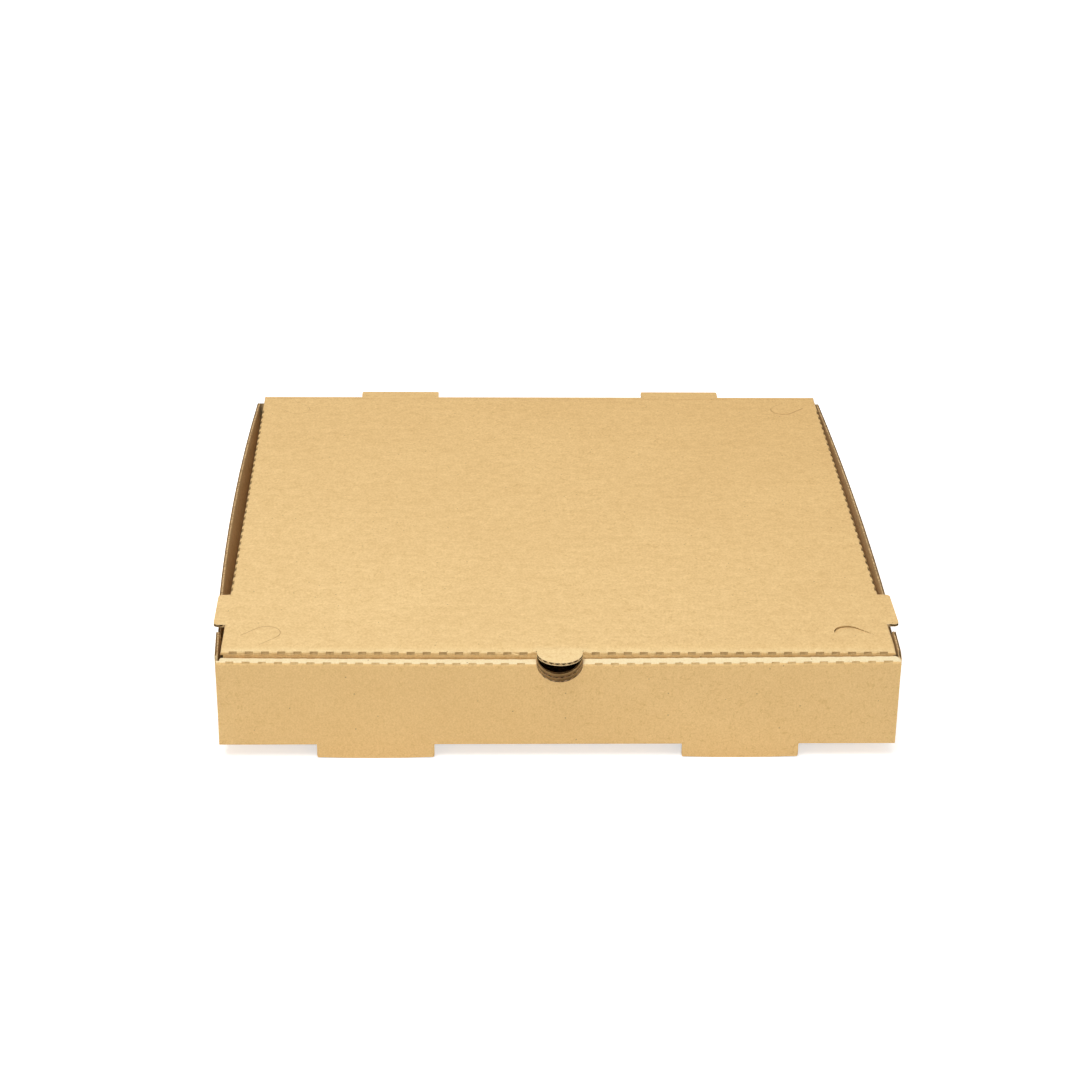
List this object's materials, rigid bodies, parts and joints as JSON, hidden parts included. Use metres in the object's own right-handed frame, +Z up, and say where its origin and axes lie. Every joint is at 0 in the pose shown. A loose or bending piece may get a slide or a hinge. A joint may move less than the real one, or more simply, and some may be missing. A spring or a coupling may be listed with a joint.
{
  "type": "pizza box",
  "caption": "Square kraft corrugated pizza box, shut: rolled double front wall with lock feet, tucked hinged lid with thumb, side and rear tabs and push-in corner tongues.",
  "frame": {"origin": "middle of the underside of the tray's floor", "axes": "+X is the box's right-hand side seen from the front, +Y runs from the front lock to the hinge, +Z is up"},
  "size_m": [0.3699, 0.3747, 0.0608],
  "materials": {
    "kraft_board": "matte brown kraft liner"
  },
  "bodies": {
    "tray": {"tray": "kraft_board"},
    "lid": {"lid": "kraft_board"}
  },
  "joints": [
    {"name": "lid_hinge", "type": "hinge", "parent": "tray", "child": "lid", "pos_m": [0, 0.1786, 0.0521], "axis": [-1, 0, 0], "range_deg": [0, 180]}
  ]
}
